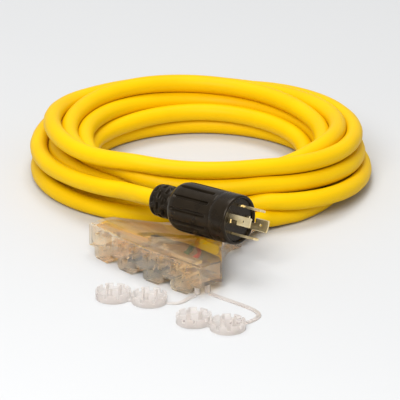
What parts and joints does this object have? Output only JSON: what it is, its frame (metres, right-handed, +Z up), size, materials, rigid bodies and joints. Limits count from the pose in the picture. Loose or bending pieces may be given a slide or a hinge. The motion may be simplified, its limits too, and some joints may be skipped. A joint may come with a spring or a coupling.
{
  "type": "shore power cord",
  "caption": "Coiled heavy yellow power lead with a black locking plug and a clear fan-shaped outlet connector with tethered dust covers.",
  "frame": {"origin": "middle of the flat under the second outlet's lobe, on the surface the cord lies on", "axes": "the outlets face -Y, the connector's width runs along X, its neck points to +Y, +Z up"},
  "size_m": [0.4842, 0.4641, 0.0809],
  "materials": {
    "cord_jacket": "satin",
    "amber_vinyl": "clear, smoky amber",
    "pale_vinyl": "clear",
    "black_nylon": "satin",
    "brass": "bright",
    "insulation_black": "matte",
    "insulation_red": "matte",
    "insulation_white": "matte",
    "insulation_green": "matte"
  },
  "bodies": {
    "cord_set": {"connector_body": "amber_vinyl", "connector_boot": "amber_vinyl", "connector_core_black": "insulation_black", "connector_core_green": "insulation_green", "connector_core_red": "insulation_red", "connector_core_white": "insulation_white", "connector_face": "amber_vinyl", "connector_jacket_end": "cord_jacket", "contact_earth": "brass", "contact_live_1": "brass", "contact_live_2": "brass", "contact_neutral": "brass", "cord_coil": "cord_jacket", "cord_to_connector": "cord_jacket", "cord_to_plug": "cord_jacket", "plug_blade_earth": "brass", "plug_blade_live_1": "brass", "plug_blade_live_2": "brass", "plug_blade_neutral": "brass", "plug_collar": "black_nylon", "plug_core_black": "insulation_black", "plug_core_green": "insulation_green", "plug_core_red": "insulation_red", "plug_core_white": "insulation_white", "plug_face": "black_nylon", "plug_jacket_end": "cord_jacket", "plug_shell": "black_nylon", "plug_strain_relief": "black_nylon", "tether_root_left": "pale_vinyl", "tether_root_right": "pale_vinyl"},
    "cover_left": {"cover_left": "pale_vinyl", "tether_left": "pale_vinyl"},
    "cover_right": {"cover_right": "pale_vinyl", "tether_right": "pale_vinyl"}
  },
  "joints": [
    {"name": "cover_left_lift", "type": "hinge", "parent": "cord_set", "child": "cover_left", "pos_m": [0.0905, -0.0062, 0.0008], "axis": [-1, 0, 0], "range_deg": [0, 60]},
    {"name": "cover_right_lift", "type": "hinge", "parent": "cord_set", "child": "cover_right", "pos_m": [0.0965, 0.008, 0.0008], "axis": [0, -1, 0], "range_deg": [0, 60]}
  ]
}
